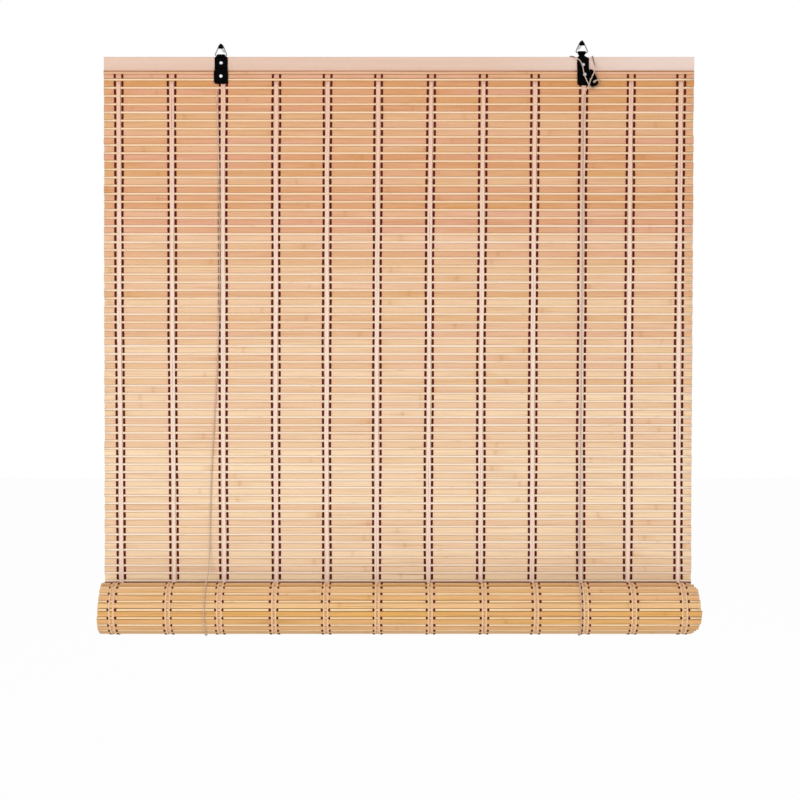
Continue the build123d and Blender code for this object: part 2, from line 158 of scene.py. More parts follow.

# Cords, their routes from end to end: the model's, moved a little over the rail and the V
cord_diameter = 1.2 * mm
left_route = (
    (-193.0, -1.6, -24.5),
    (-195.9, -9.3, -560.0),
    (-196.0, -9.7, -588.5),
    (-196.3, -26.7, -604.9),
    (-196.2, -50.0, -604.4),
    (-195.9, -66.0, -588.1),
    (-195.6, -65.6, -565.4),
    (-195.8, -49.5, -549.8),
    (-196.2, -28.0, -549.0),
    (-196.0, -15.4, -531.0),
    (-195.2, -14.35, -478.0),
    (-193.0, -14.45, -425.0),
    (-190.0, -14.35, -372.0),
    (-187.0, -14.45, -318.0),
    (-185.4, -14.4, -262.0),
    (-185.6, -14.45, -190.0),
    (-185.7, -14.4, -120.0),
    (-187.2, -14.45, -62.0),
    (-188.1, -14.4, -43.6),
    (-188.1, -3.6, -43.6),
    (-188.2, -1.6, -41.2),
    (-188.2, -1.75, -27.0),
    (-180.0, -1.7, -20.5),
    (-168.0, -1.75, -19.9),
    (166.0, -1.75, -18.6),
    (174.0, -1.7, -16.4),
    (177.5, -1.4, -12.2),
    (176.6, -3.2, -10.7),
    (177.4, -10.8, -10.7),
    (180.2, -12.5, -11.6),
    (183.6, -13.2, -13.6),
    (186.4, -13.9, -15.4),
    (188.6, -14.5, -19.2),
    (189.6, -15.2, -23.6),
    (190.0, -17.2, -27.6),
    (191.0, -17.6, -31.8),
    (192.6, -17.7, -35.6),
    (194.4, -18.5, -39.5),
    (195.7, -18.9, -42.4),
    (197.6, -17.9, -44.6),
    (200.6, -15.5, -45.0),
    (202.8, -15.2, -41.6),
    (204.6, -15.4, -38.4),
    (206.3, -16.5, -36.7),
    (206.3, -18.7, -35.9),
    (204.7, -19.8, -36.1),
    (203.0, -19.7, -37.1),
)
right_route = (
    (184.6, -1.6, -24.5),
    (183.65, -9.3, -560.0),
    (183.6, -9.7, -588.5),
    (183.4, -26.7, -604.9),
    (183.2, -50.0, -604.4),
    (182.9, -66.0, -588.1),
    (182.8, -65.6, -565.4),
    (183.2, -49.5, -549.8),
    (184.2, -28.0, -549.0),
    (186.0, -15.4, -531.0),
    (187.2, -14.35, -478.0),
    (187.6, -14.45, -420.0),
    (188.0, -14.35, -362.0),
    (188.4, -14.45, -304.0),
    (188.8, -14.35, -246.0),
    (189.1, -14.45, -188.0),
    (189.5, -14.35, -130.0),
    (189.8, -14.4, -76.0),
    (190.4, -14.9, -52.0),
    (192.4, -17.6, -46.6),
    (194.6, -20.4, -43.8),
    (195.7, -21.0, -40.2),
    (196.9, -20.9, -36.4),
    (198.7, -20.4, -32.8),
    (200.4, -19.9, -29.2),
    (201.4, -19.3, -25.2),
    (201.4, -17.4, -20.6),
    (200.4, -13.8, -16.6),
    (199.8, -12.5, -12.0),
    (199.8, -10.8, -10.7),
    (200.0, -3.2, -10.7),
    (200.0, -1.4, -12.2),
    (200.2, -1.75, -16.6),
    (200.1, -1.6, -22.4),
)

# Wall hooks: the head, how its front is rounded (depth from the front, share of the outline),
# the shank, its thread and its point (distance from the end, radius)
hook_head_width = 7.0 * mm
hook_head_peak = 6.4 * mm
hook_head_round = 1.0 * mm
hook_head_depth = 1.5 * mm
hook_head_drop = 2.3 * mm
hook_corner_steps = 8
hook_dome = (
    (hook_head_depth, 0.93), (1.3 * mm, 1.0), (0.55 * mm, 1.0), (0.22 * mm, 0.93),
    (0.05 * mm, 0.78), (0.0, 0.5),
)
hook_shank = 1.6 * mm
hook_thread = 1.4 * mm
hook_thread_depth = 0.35 * mm
hook_point = 6.0 * mm
hook_dome_middle = 0.42
hook_overlap = 0.3 * mm
hook_pitch = 1.6 * mm
hook_turn_steps = 8
hook_tip = ((0.2 * mm, 0.4 * mm), (0.0, 0.1 * mm))
hook_sides = 24

# The cords' strands and knots, and the stretches painted brown where a cord comes over the rail:
# painted shade where the cord lies in the rail's shadow
cord_strands = 3
strand_pitch = 5.0 * mm
strand_steps = 8
strand_sides = 5
strand_swell = 1.12
knot_wraps = 3.2
knot_steps = 40
knot_wire = 0.52 * mm
knot_radius = 0.8 * mm
knot_length = 3.0 * mm
knot_step = 0.5 * mm
knot_pitch = 2.5 * mm
knot_tuck = 0.3 * mm
knot_tail = 0.9 * mm
brown_y = -4.0 * mm
brown_low_z = -34.0 * mm
brown_left_x = 181.5 * mm
brown_right_x = 196.0 * mm
brown_right_z = -22.0 * mm
brown_left_share = 0.85
brown_right_share = 0.8

# A dark splintered chip on one slat's lower edge, beside the right cord
chip_x, chip_z = 197.5 * mm, -293.5 * mm
chip_sunk = 0.1 * mm
chip_proud = 0.12 * mm
chip_taper = 0.8
chip_outline = (
    (-2.2, -0.3), (-1.2, 0.9), (-0.2, 0.6), (0.6, 0.8), (2.4, -0.1), (0.9, -0.9), (-0.8, -1.2),
)

# Camera: 800 pixels across a 36 mm sensor
eye = Vector((1.0, -1662.0, -288.6)) * mm
target = Vector((1.0, -12.0, -305.9)) * mm
lens_mm = 71.8
shift_up = -0.0728

# Studio: the floor and each lamp's name, place, size and power
floor_size = 6.0
floor_drop = 0.42
floor_glow = 0.965
floor_grey = (0.85, 0.85, 0.85, 1)
white = (1, 1, 1, 1)
world_strength = 0.55
lamp_target = (0, 0, -0.3)
lamps = (
    ("key", (-1.2, -2.6, 0.2), 1.6, 32.0),
    ("fill", (1.6, -2.2, 0.0), 1.8, 10.0),
    ("back", (0.6, 2.0, 1.0), 1.8, 14.0),
)

# Noise of the woods: cycles a metre along X, cycles a metre across it, and detail
patch_noise = (7.0, 60.0, 2.0)
drift_noise = (3.0, 90.0, 1.0)
grain_noise = (14.0, 1900.0, 4.0)
fine_noise = (30.0, 4200.0, 2.0)
rail_wide_noise = (3.0, 160.0, 3.0)
rail_fine_noise = (12.0, 1500.0, 4.0)
seed_spread = 37.0
drift_seed = 5.0
rail_seeds = (0.3, 1.7)

# Spans of that noise that turn into 0 to 1, and the shares they have in the colour
patch_span = (0.38, 0.62)
drift_span = (0.3, 0.7)
drift_least = 0.7
grain_span = (0.5, 0.8)
fine_span = (0.45, 0.75)
fine_share = 0.3
rail_wide_span = (0.4, 0.7)
rail_wide_share = 0.5
rail_fine_share = 0.4

# Growth nodes: half widths of ridge and halo as shares of their spacing, and how strong they are
ridge_half = 0.009
ridge_span = (0.35, 0.65)
ridge_share = 0.4
ridge_height = 0.6
halo_half = 0.05
halo_share = 0.3
node_bend = 0.006

# Where the rail gets paler to the right, how much painted shade browns the pale yarns towards the
# top, and bands of yarn a metre
pale_end_x = (0.1, 0.26)
yarn_top_shade = 0.85
yarn_bands = 900.0
cord_bands = 1400.0


def srgb(red, green, blue):
    """A colour given as 0 to 255 values, as the linear one that shaders take."""
    return tuple((level / 255) ** 2.2 for level in (red, green, blue)) + (1.0,)


def camera():
    """The camera at the photograph's height and distance."""
    data = bpy.data.cameras.new("camera")
    data.lens = lens_mm
    data.shift_y = shift_up
    data.clip_start = 0.01
    made = bpy.data.objects.new("camera", data)
    bpy.context.collection.objects.link(made)
    made.location = eye
    made.rotation_euler = (target - eye).to_track_quat("-Z", "Y").to_euler()
    bpy.context.scene.camera = made


def put(tree, kind, links=(), **settings):
    """Adds a shader node; links pairs an input with a value or another node's output."""
    made = tree.nodes.new(kind)
    for key, value in settings.items():
        setattr(made, key, value)
    for socket, value in links:
        if isinstance(value, bpy.types.NodeSocket):
            tree.links.new(value, made.inputs[socket])
        else:
            made.inputs[socket].default_value = value
    return made


def blank_material(name, roughness, **sockets):
    """A material with its Principled shader, whose plain values are set on its sockets."""
    made = bpy.data.materials.new(name)
    made.use_nodes = True
    tree = made.node_tree
    shader = tree.nodes["Principled BSDF"]
    shader.inputs["Roughness"].default_value = roughness
    for socket, value in sockets.items():
        shader.inputs[socket.replace("_", " ")].default_value = value
    return made, tree, shader


def maths(tree, operation, first, second=0.0):
    """One Math node's output."""
    return put(tree, "ShaderNodeMath", ((0, first), (1, second)), operation=operation).outputs[0]


def mixed(tree, share, first, second):
    """A Mix node's colour output."""
    made = put(tree, "ShaderNodeMix", data_type="RGBA")
    for socket, value in (("Factor_Float", share), ("A_Color", first), ("B_Color", second)):
        target_socket = next(s for s in made.inputs if s.identifier == socket)
        if isinstance(value, bpy.types.NodeSocket):
            tree.links.new(value, target_socket)
        else:
            target_socket.default_value = value
    return next(s for s in made.outputs if s.identifier == "Result_Color")


def ramp(tree, share, low, high):
    """A share mapped from low..high to 0..1."""
    made = put(tree, "ShaderNodeMapRange", ((0, share), (1, low), (2, high)))
    return made.outputs[0]


def object_place(tree, axis=None):
    """The object coordinates, or only one of their axes."""
    place = put(tree, "ShaderNodeTexCoord").outputs["Object"]
    if axis is None:
        return place
    return put(tree, "ShaderNodeSeparateXYZ", ((0, place),)).outputs[axis]


def noise(tree, place, scale, detail):
    """Noise at a place."""
    links = (("Vector", place), ("Scale", scale), ("Detail", detail))
    return put(tree, "ShaderNodeTexNoise", links).outputs["Fac"]


def streaks(tree, seed, noise_kind):
    """Noise drawn out along X, different for each seed."""
    along, across, detail = noise_kind
    shift = put(tree, "ShaderNodeCombineXYZ", ((0, seed), (1, seed), (2, seed)))
    shifted = put(
        tree,
        "ShaderNodeVectorMath",
        ((0, object_place(tree)), (1, shift.outputs[0])),
        operation="ADD",
    )
    scaled = put(
        tree,
        "ShaderNodeVectorMath",
        ((0, shifted.outputs[0]), (1, (along, across, across))),
        operation="MULTIPLY",
    )
    return noise(tree, scaled.outputs[0], 1.0, detail)


def bumped(tree, shader, height, strength, distance):
    """Bump from a height."""
    bump = put(
        tree,
        "ShaderNodeBump",
        (("Height", height), ("Strength", strength), ("Distance", distance)),
    )
    tree.links.new(bump.outputs[0], shader.inputs["Normal"])


def bamboo(name, pinkish, golden, pale, dark, node_spacing, grain_share=0.55):
    """Split bamboo: each strip its own tone, with streaks, patches and growth nodes, and painted
    shade.
    """
    made, tree, shader = blank_material(name, roughness=0.55, Specular_IOR_Level=0.25)
    tone = put(tree, "ShaderNodeAttribute", attribute_name="tone")
    parts = put(tree, "ShaderNodeSeparateColor", ((0, tone.outputs["Color"]),))
    hue, light, seed = parts.outputs[0], parts.outputs[1], parts.outputs[2]
    far_seed = maths(tree, "MULTIPLY", seed, seed_spread)
    patch = ramp(tree, streaks(tree, far_seed, patch_noise), *patch_span)
    other_seed = maths(tree, "ADD", far_seed, drift_seed)
    drift = ramp(tree, streaks(tree, other_seed, drift_noise), *drift_span)
    half_hue = maths(tree, "MULTIPLY", hue, 0.5)
    share = maths(tree, "ADD", half_hue, maths(tree, "MULTIPLY", patch, 0.5))
    body = mixed(tree, share, pinkish, golden)
    drifted = maths(tree, "MULTIPLY", drift, 1.0 - drift_least)
    drift_share = maths(tree, "ADD", drifted, drift_least)
    body = mixed(tree, maths(tree, "MULTIPLY", light, drift_share), body, pale)
    grain = streaks(tree, far_seed, grain_noise)
    grained = maths(tree, "MULTIPLY", ramp(tree, grain, *grain_span), grain_share)
    body = mixed(tree, grained, body, dark)
    fine = streaks(tree, far_seed, fine_noise)
    pale_streaks = maths(tree, "MULTIPLY", ramp(tree, fine, *fine_span), fine_share)
    body = mixed(tree, pale_streaks, body, pale)
    bent = maths(tree, "ADD", object_place(tree, 0), maths(tree, "MULTIPLY", fine, node_bend))
    cycle = maths(tree, "DIVIDE", maths(tree, "ADD", bent, far_seed), node_spacing)
    off = maths(tree, "ABSOLUTE", maths(tree, "SUBTRACT", maths(tree, "FRACT", cycle), 0.5))
    uneven = ramp(tree, grain, *ridge_span)
    ridge = maths(tree, "MULTIPLY", ramp(tree, off, ridge_half, 0.0), uneven)
    halo = maths(tree, "MULTIPLY", ramp(tree, off, halo_half, 0.0), patch)
    body = mixed(tree, maths(tree, "MULTIPLY", halo, halo_share), body, golden)
    body = mixed(tree, maths(tree, "MULTIPLY", ridge, ridge_share), body, dark)
    # Painted shade: darker where the mesh's shade attribute says, in place of shadow
    shade = put(tree, "ShaderNodeAttribute", attribute_name="shade").outputs["Fac"]
    body = mixed(tree, shade, body, painted_shade_colour)
    tree.links.new(body, shader.inputs["Base Color"])
    height = maths(tree, "ADD", grain, maths(tree, "MULTIPLY", ridge, ridge_height))
    bumped(tree, shader, height, strength=0.25, distance=0.3 * mm)
    return made


def planed_wood(name, body, streak, pale, pale_end=0.0):
    """Planed softwood with faint long grain, paler towards its right end."""
    made, tree, shader = blank_material(name, roughness=0.6)
    wide = ramp(tree, streaks(tree, rail_seeds[0], rail_wide_noise), *rail_wide_span)
    colour = mixed(tree, maths(tree, "MULTIPLY", wide, rail_wide_share), body, streak)
    fine = ramp(tree, streaks(tree, rail_seeds[1], rail_fine_noise), *fine_span)
    colour = mixed(tree, maths(tree, "MULTIPLY", fine, rail_fine_share), colour, pale)
    end = maths(tree, "MULTIPLY", ramp(tree, object_place(tree, 0), *pale_end_x), pale_end)
    colour = mixed(tree, end, colour, pale_end_colour)
    tree.links.new(colour, shader.inputs["Base Color"])
    bumped(tree, shader, fine, strength=0.15, distance=0.2 * mm)
    return made


def yarn(name, body, dark, bands=yarn_bands):
    """Twisted yarn: fine slanting strands."""
    made, tree, shader = blank_material(
        name, roughness=0.9, Sheen_Weight=0.1, Sheen_Roughness=0.5, Specular_IOR_Level=0.2
    )
    wave = put(
        tree,
        "ShaderNodeTexWave",
        (
            ("Vector", object_place(tree)),
            ("Scale", bands),
            ("Distortion", 1.5),
            ("Detail", 2.0),
        ),
        wave_type="BANDS",
        bands_direction="DIAGONAL",
    )
    strand = wave.outputs["Fac"]
    tree.links.new(mixed(tree, strand, dark, body), shader.inputs["Base Color"])
    bumped(tree, shader, strand, strength=0.5, distance=0.2 * mm)
    return made


def browned(made, share, brown):
    """Mixes a brown painted shade into a material's colour, by a share."""
    tree = made.node_tree
    colour = tree.nodes["Principled BSDF"].inputs["Base Color"]
    tree.links.new(mixed(tree, share, colour.links[0].from_socket, brown), colour)
    return made


def top_shaded_yarn(name, unshaded, dark, shaded, unshaded_below):
    """A yarn painted browner towards the top of the blind: painted shade where less light falls."""
    made = yarn(name, unshaded, dark)
    tree = made.node_tree
    height = ramp(tree, object_place(tree, 2), unshaded_below, mat_top)
    return browned(made, maths(tree, "MULTIPLY", height, yarn_top_shade), shaded)


def shade_browned_yarn(name, unshaded, dark, brown):
    """A yarn that is brown, as painted shade, where its mesh's shade attribute says so."""
    made = yarn(name, unshaded, dark, cord_bands)
    shade = put(made.node_tree, "ShaderNodeAttribute", attribute_name="shade").outputs["Fac"]
    return browned(made, shade, brown)


def enamel(name, body, worn):
    """Black enamel on steel, faintly uneven."""
    made, tree, shader = blank_material(name, roughness=0.6, Specular_IOR_Level=0.03)
    speckle = noise(tree, object_place(tree), scale=900.0, detail=4.0)
    spots = ramp(tree, speckle, 0.5, 0.8)
    tree.links.new(mixed(tree, spots, body, worn), shader.inputs["Base Color"])
    bumped(tree, shader, speckle, strength=0.15, distance=0.2 * mm)
    return made


def bright_steel(name, body, dull):
    """Zinc plated steel."""
    made, tree, shader = blank_material(name, roughness=0.3, Metallic=1.0)
    speckle = noise(tree, object_place(tree), scale=1500.0, detail=3.0)
    tree.links.new(mixed(tree, speckle, body, dull), shader.inputs["Base Color"])
    rough = ramp(tree, speckle, -0.4, 1.6)
    tree.links.new(maths(tree, "MULTIPLY", rough, 0.6), shader.inputs["Roughness"])
    return made


# Colour of the painted shade on strip edges, in the crevice above the roll and round the roll
painted_shade_colour = srgb(104, 44, 30)
pale_end_colour = srgb(234, 216, 206)
front_bamboo = bamboo(
    "bamboo_front", srgb(218, 154, 125), srgb(206, 140, 72), srgb(252, 226, 187),
    srgb(176, 112, 74), 0.29, 0.65,
)
back_bamboo = bamboo(
    "bamboo_back", srgb(228, 170, 122), srgb(222, 166, 84), srgb(250, 212, 158),
    srgb(156, 98, 44), 0.29, 0.9,
)
stick_bamboo = bamboo(
    "bamboo_sticks", srgb(248, 214, 178), srgb(246, 206, 158), srgb(255, 236, 214),
    srgb(222, 176, 132), 0.41,
)
stick_back = bamboo(
    "bamboo_sticks_back", srgb(253, 216, 168), srgb(250, 210, 150), srgb(255, 230, 190),
    srgb(190, 138, 84), 0.41,
)
chip_bamboo = planed_wood(
    "chip_bamboo", srgb(150, 118, 92), srgb(116, 88, 66), srgb(172, 140, 112)
)
rail_wood = planed_wood(
    "rail_wood", srgb(223, 190, 170), srgb(214, 178, 156), srgb(230, 204, 188), 0.6
)
red_yarn = yarn("red_yarn", srgb(114, 20, 14), srgb(72, 10, 6))
# Painted shade: the pale yarns darken towards the mat's top, where less light falls
pale_yarn = top_shaded_yarn(
    "pale_yarn", srgb(255, 232, 212), srgb(248, 216, 194), srgb(238, 188, 158), mat_top - 0.24
)
back_yarn = yarn("back_yarn", srgb(250, 208, 168), srgb(236, 190, 146))
# Painted shade: the cord yarn browns where it lies in the rail's shadow
cord_yarn = shade_browned_yarn(
    "cord_yarn", srgb(246, 224, 204), srgb(216, 186, 160), srgb(136, 84, 60)
)
black_steel = enamel("black_steel", srgb(4, 4, 5), srgb(14, 13, 13))
zinc_steel = bright_steel("zinc_steel", srgb(222, 222, 226), srgb(168, 168, 172))
ring_steel = bright_steel("ring_steel", srgb(132, 132, 136), srgb(96, 96, 100))


def tube_faces(start, rings, sides, turned=False):
    """Faces of a closed tube of rings of verts; turned where the rings run the other way round."""
    faces = []
    for ring in range(rings - 1):
        for side in range(sides):
            a = start + ring * sides + side
            b = start + ring * sides + (side + 1) % sides
            faces.append((a, a + sides, b + sides, b) if turned else (a, b, b + sides, a + sides))
    first = tuple(range(start, start + sides))
    last = tuple(range(start + (rings - 1) * sides, start + rings * sides))
    return faces + ([first, last[::-1]] if turned else [first[::-1], last])


def add_piece(
    name, verts, faces, materials, tones=None, shades=None, slots=None, smooth=False, body="blind"
):
    """A mesh piece that rides on a body; tones and shades are the verts', slots the faces'."""
    mesh = bpy.data.meshes.new(name)
    mesh.from_pydata(verts, [], faces)
    for material in materials:
        mesh.materials.append(material)
    if tones:
        layer = mesh.color_attributes.new("tone", "FLOAT_COLOR", "POINT")
        layer.data.foreach_set("color", [level for tone in tones for level in tone])
    if shades:
        mesh.attributes.new("shade", "FLOAT", "POINT").data.foreach_set("value", shades)
    if slots:
        mesh.polygons.foreach_set("material_index", slots)
    mesh.polygons.foreach_set("use_smooth", [smooth] * len(mesh.polygons))
    mesh.update()
    made = bpy.data.objects.new(name, mesh)
    bpy.context.collection.objects.link(made)
    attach(made, body)
    return made


def spiral_angle(wound):
    """Angle turned after a length of mat has been wound on."""
    slope = turn_pitch / (2 * math.pi)
    return (roll_radius - math.sqrt(roll_radius**2 - 2 * slope * wound)) / slope


def mat_place(down):
    """Place, direction down the mat and direction out of its back, a length below its top."""
    if down <= hang_length:
        return (mat_y, mat_top - down), (0.0, -1.0), (1.0, 0.0)
    angle = spiral_angle(down - hang_length)
    radius = roll_radius - turn_pitch * angle / (2 * math.pi)
    sine, cosine = math.sin(angle), math.cos(angle)
    return (roll_y + radius * cosine, roll_z - radius * sine), (-sine, -cosine), (cosine, -sine)


def row_places():
    """Middle of each row's stick and slat, as lengths below the mat's top."""
    sticks = []
    for row in range(hanging_rows):
        sticks.append(first_stick + pitch_top * row - pitch_shrink * row * (row - 1) / 2)
    wound = spiral_angle(0.0)
    last = 2 * math.pi * (roll_radius - core_radius) / turn_pitch
    while wound < last:
        sticks.append(sticks[-1] + roll_pitch)
        wound = spiral_angle(sticks[-1] - hang_length)
    gap = (pitch_top - slat_height - stick_height) / 2
    rows = [(first_stick - stick_height / 2 - gap - first_slat / 2, first_stick)]
    for before, stick in zip(sticks, sticks[1:]):
        rows.append(((before + stick) / 2, stick))
    return rows


def cross_section(height, depth, bevel):
    """Points round a strip's end, from its front top edge."""
    half_h, half_d = height / 2, depth / 2
    return (
        (-half_h, -half_d + bevel),
        (-half_h + bevel, -half_d),
        (half_h - bevel, -half_d),
        (half_h, -half_d + bevel),
        (half_h, half_d - bevel),
        (half_h - bevel, half_d),
        (-half_h + bevel, half_d),
        (-half_h, half_d - bevel),
    )


def waves(place, kinds, starts):
    """Sum of sine waves at a place, each of its own wave number, height and start."""
    pairs = zip(kinds, starts)
    return sum(tall * math.sin(place * number + start) for (number, tall), start in pairs)


class Strips:
    """Strips that run along X, gathered into one mesh."""

    back_sides = (4, 5, 6)

    def __init__(self):
        self.verts, self.faces, self.tones, self.shades, self.slots = [], [], [], [], []

    def add(
        self, down, height, depth, bevel, left, right, steps, tone, wander, shade=0.0, shade_side=1
    ):
        """One strip; its painted shade lies on the mat's front, or on its back where shade_side is
        -1.
        """
        (y, z), along, out = mat_place(down)
        section = cross_section(height, depth, bevel)
        shades = []
        for t, n in section:
            # Painted shade on the bevelled edges, where the gaps between strips lie in shade
            edge = edge_shade if abs(t) > height / 2 - bevel / 2 else 0.0
            shades.append(max(edge, shade if n * shade_side < 0 else 0.0))
        count = len(section)
        start = len(self.verts)
        phase = [random.uniform(0, math.tau) for _ in range(4)]
        for step in range(steps + 1):
            x = left + (right - left) * step / steps
            sway = waves(x, sway_waves, phase[:2])
            lift = waves(x, lift_waves, phase[2:])
            self.shades += shades
            for t, n in section:
                t += sway * wander
                n += lift * wander * strip_lift
                self.verts.append((x, y + along[0] * t + out[0] * n, z + along[1] * t + out[1] * n))
                self.tones.append(tone)
        self.faces += tube_faces(start, steps + 1, count, turned=True)
        ring_slots = [1 if side in self.back_sides else 0 for side in range(count)]
        self.slots += ring_slots * steps + [0, 0]

    def piece(self, name, materials, smooth):
        """The gathered strips as a piece, its materials for the front and the back."""
        return add_piece(
            name, self.verts, self.faces, materials, self.tones, self.shades, self.slots, smooth
        )


def strip_tone(down):
    """Hue, lightness and seed of one strip; the strips are painted paler down the hanging mat, as
    painted light.
    """
    paler, stray = rolled_light, rolled_light_stray
    if down <= hang_length:
        # Painted light: paler down the hanging mat, where the light falls more brightly
        paler = min(max(light_rise * down / hang_length - light_delay, 0.0), 1.0)
        stray = light_stray
    light = light_share * paler + stray * (random.random() - light_stray_middle)
    return (random.random(), min(max(light, 0.0), 1.0), random.random(), 1.0)


def strip_ends(down):
    """X of a strip's two ends; in the roll the right ends fan out where it faces the room."""
    if down < hang_length:
        draw_in = right_draw_in * down / hang_length
        left = end_left + random.uniform(0, 2 * hanging_ragged)
        return left, end_right - draw_in + random.uniform(-hanging_ragged, hanging_ragged)
    angle = spiral_angle(down - hang_length)
    ragged = outer_ragged if angle < math.tau else inner_ragged
    rise = math.sin(angle - roll_front)
    taper = roll_taper * rise**roll_taper_power + (roll_top_inset if rise > 0 else 0.0)
    left = roll_left + roll_left_swing * math.sin(2 * angle)
    left += random.uniform(-outer_ragged, outer_ragged)
    return left, roll_right - taper + random.uniform(-2, 1) * ragged


rows = row_places()


def slat_tall(row):
    """Height of a row's slat: the hanging ones nearly fill the gap between two sticks."""
    if row == 0:
        return first_slat
    if row < hanging_rows:
        pitch = rows[row][1] - rows[row - 1][1]
        return pitch - stick_height - random.uniform(*slat_gap)
    return slat_height * random.uniform(*rolled_slat_share)


def row_shade(row):
    """Painted shade of a row: the crevice above the roll, and bands round the roll's shaded first
    turn.
    """
    if row < hanging_rows:
        return dark_row_shade if row == dark_row else 0.0
    wound = spiral_angle(rows[row][0] - hang_length)
    shade = 0.0
    for first, last, darkness in roll_shades:
        if first * math.pi < wound < last * math.pi:
            shade = darkness
    return shade


def weave():
    """The slats and sticks of the hanging mat and of the roll."""
    slats, sticks, rolled_slats, rolled_sticks = Strips(), Strips(), Strips(), Strips()
    for row, (slat_middle, stick_middle) in enumerate(rows):
        hanging = row < hanging_rows
        outer = row < hanging_rows + 2 * yarn_roll_rows
        steps = hanging_steps if hanging else (outer_steps if outer else inner_steps)
        wander = strip_wander if outer else 0.0
        shade = row_shade(row)
        slats_here, sticks_here = (slats, sticks) if hanging else (rolled_slats, rolled_sticks)
        for gather, middle, tall, depth, bevel in (
            (slats_here, slat_middle, slat_tall(row), slat_depth, slat_bevel),
            (sticks_here, stick_middle, stick_height, stick_depth, stick_bevel),
        ):
            left, right = strip_ends(middle)
            tone = strip_tone(middle)
            side = 1 if hanging else -1
            gather.add(middle, tall, depth, bevel, left, right, steps, tone, wander, shade, side)
    slats.add(
        rows[0][0] - (first_slat + top_strip) / 2 - top_gap, top_strip, slat_depth, top_bevel,
        end_left, end_right, hanging_steps, (0.1, 0.3, 0.4, 1.0), top_wander,
    )
    # Painted shade: a thin dark strip at the mat's top edge, where the rail's face shows in shadow
    slats.add(
        top_shade_strip / 2, top_shade_strip, slat_depth, top_bevel,
        end_left, end_right, hanging_steps, (0.3, 0.0, 0.8, 1.0), edge_wander, top_edge_shade,
    )
    for gathered, name, faces_of, rounded, node in (
        (slats, "woven_slats", (front_bamboo, back_bamboo), False, "hanging_mat"),
        (sticks, "woven_sticks", (stick_bamboo, stick_back), True, None),
        (rolled_slats, "roll_of_slats", (front_bamboo, back_bamboo), False, "rolled_mat"),
        (rolled_sticks, "roll_of_sticks", (stick_bamboo, stick_back), True, None),
    ):
        woven = gathered.piece(name, faces_of, rounded)
        if node:
            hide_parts(node)


weave()


def band_x(band, down):
    """X of a band's middle, a length below the mat's top."""
    spread = (mat_high.x - mat_low.x - 2 * band_inset) / sum(band_steps)
    centre = mat_low.x + band_inset + spread * sum(band_steps[:band])
    hung = min(down / hang_length, 1.0)
    rolled = min(max(down - hang_length, 0.0) / band_roll_run, 1.0)
    centre += band_shift - band_bow * math.sin(math.pi * hung)
    return centre + (band_drift[band] * hung + band_roll_drift[band] * rolled) * mm


class Tubes:
    """Flat yarns that run down the mat, gathered into one mesh."""

    def __init__(self):
        self.verts, self.faces = [], []

    def add(self, path, half_width, half_depth):
        """One yarn along a path of points."""
        start = len(self.verts)
        for index, (x, y, z) in enumerate(path):
            before = path[max(index - 1, 0)]
            after = path[min(index + 1, len(path) - 1)]
            run = math.hypot(after[1] - before[1], after[2] - before[2])
            ny, nz = -(after[2] - before[2]) / run, (after[1] - before[1]) / run
            for side in range(yarn_sides):
                turn = math.tau * side / yarn_sides
                w, d = math.cos(turn) * half_width, math.sin(turn) * half_depth
                self.verts.append((x + w, y + ny * d, z + nz * d))
        self.faces += tube_faces(start, len(path), yarn_sides)


def yarn_path(band, offset, stations):
    """A yarn's points: (length down, distance out of the mat's back) stations, at an X offset."""
    sway = [random.uniform(0, math.tau) for _ in range(3)]
    path = []
    for down, back in stations:
        (y, z), along, out = mat_place(down)
        x = band_x(band, down) + offset + waves(down, yarn_waves, sway)
        path.append((x, y + out[0] * back, z + out[1] * back))
    return path


slat_front = slat_depth / 2
stick_front = stick_depth / 2
rail_cover = mat_top - rail_low.z + rail_margin
red_rows = rows[: hanging_rows + yarn_roll_rows]


def red_stations():
    """Over each slat's front and behind each stick."""
    first = red_rows[0][0]
    over = -(slat_front + red_half_depth)
    stations = [(first + down, back) for down, back in zip(first_stitch, (0.0, over, over, 0.0))]
    stations.append((red_rows[0][1], stick_front - stitch_sunk))
    for slat_middle, stick_middle in red_rows[1:]:
        gap = (stick_middle - slat_middle - (slat_height + stick_height) / 2) / 2
        top = slat_middle - slat_height / 2
        bottom = slat_middle + slat_height / 2
        behind = stick_front + red_half_depth
        if stick_middle < rail_cover:
            behind = stick_front - stitch_sunk
        stations += [
            (top - gap, 0.0),
            (top + stitch_inset, over),
            (slat_middle, over - stitch_press),
            (bottom - stitch_inset, over),
            (bottom + gap, 0.0),
            (stick_middle - red_hold, behind),
            (stick_middle + red_hold, behind),
        ]
    return stations


def laid_stations(chosen_rows, over_slat, over_stick):
    """Along one face of the mat, over slats and sticks."""
    reach = slat_height * laid_reach
    stations = []
    for slat_middle, stick_middle in chosen_rows:
        stations += [
            (slat_middle - reach, over_slat),
            (slat_middle + reach, over_slat),
            (stick_middle, over_stick),
        ]
    return stations


def yarns(name, node, stations, offset, half_width, half_depth, material):
    """One pair of yarns to each band."""
    gathered = Tubes()
    for band in range(len(band_drift)):
        for side in (-1, 1):
            gathered.add(yarn_path(band, side * offset, stations), half_width, half_depth)
    made = add_piece(name, gathered.verts, gathered.faces, (material,), smooth=True)
    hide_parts(node)


yarns(
    "red_yarns", "red_warp_yarns", red_stations(), red_offset, red_half_width, red_half_depth,
    red_yarn,
)
front_stations = laid_stations(
    rows[1:hanging_rows],
    -(slat_front + pale_half_depth),
    -(stick_front + pale_half_depth * pale_lift),
)
yarns(
    "pale_front_yarns", "pale_warp_bands", front_stations, pale_offset, pale_half_width,
    pale_half_depth, pale_yarn,
)
back_stations = laid_stations(
    [row for row in red_rows if row[0] >= rail_cover],
    slat_front + back_half_depth,
    stick_front + back_half_depth,
)
yarns(
    "pale_back_yarns", "rear_warp_bands", back_stations, back_offset, back_half_width,
    back_half_depth, back_yarn,
)


